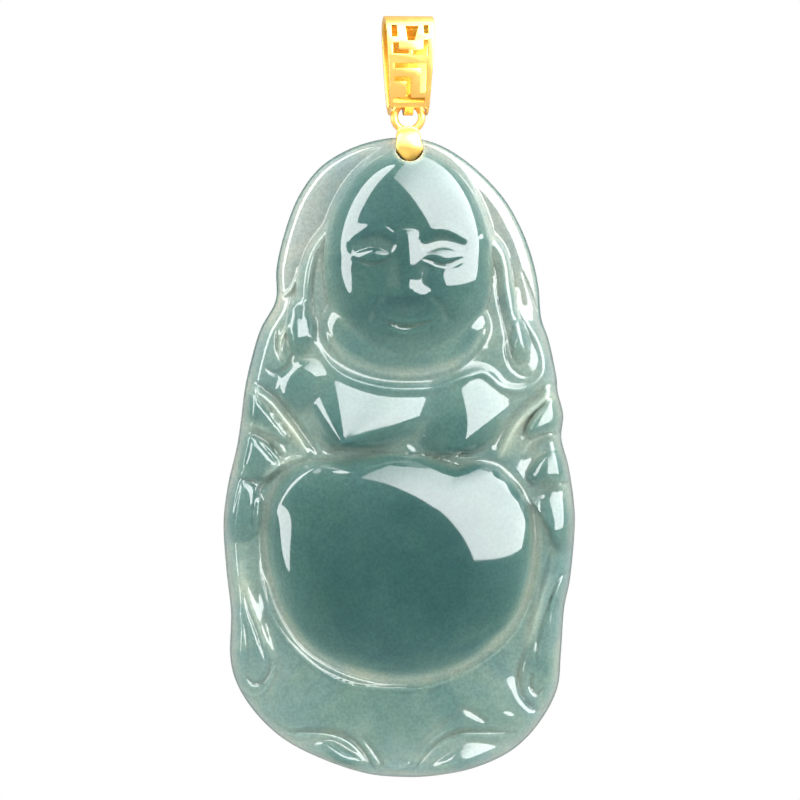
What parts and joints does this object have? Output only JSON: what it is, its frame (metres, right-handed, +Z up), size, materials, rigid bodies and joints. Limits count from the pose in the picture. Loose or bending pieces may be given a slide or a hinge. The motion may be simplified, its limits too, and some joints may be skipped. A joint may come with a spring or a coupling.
{
  "type": "jade buddha pendant",
  "caption": "Carved jade pendant of a laughing seated figure on a gold clip, hung from a pierced gold band that slides on a chain.",
  "frame": {"origin": "inner top of the gold band, where the chain carries the pendant", "axes": "+Z up along the hanging pendant, the carved front faces -Y, +X to the right of the front view, along the chain"},
  "size_m": [0.0282, 0.0099, 0.0612],
  "materials": {
    "jade": "polished translucent blue-green jade",
    "gold": "polished yellow gold"
  },
  "bodies": {
    "bail": {"bail_band": "gold"},
    "drop": {"pinch_clip": "gold", "jade_figure": "jade"}
  },
  "joints": [
    {"name": "pendant_swing", "type": "hinge", "parent": "bail", "child": "drop", "pos_m": [0, 0, -0.00615], "axis": [0.9925, 0.1219, 0], "range_deg": [-22, 22]}
  ]
}
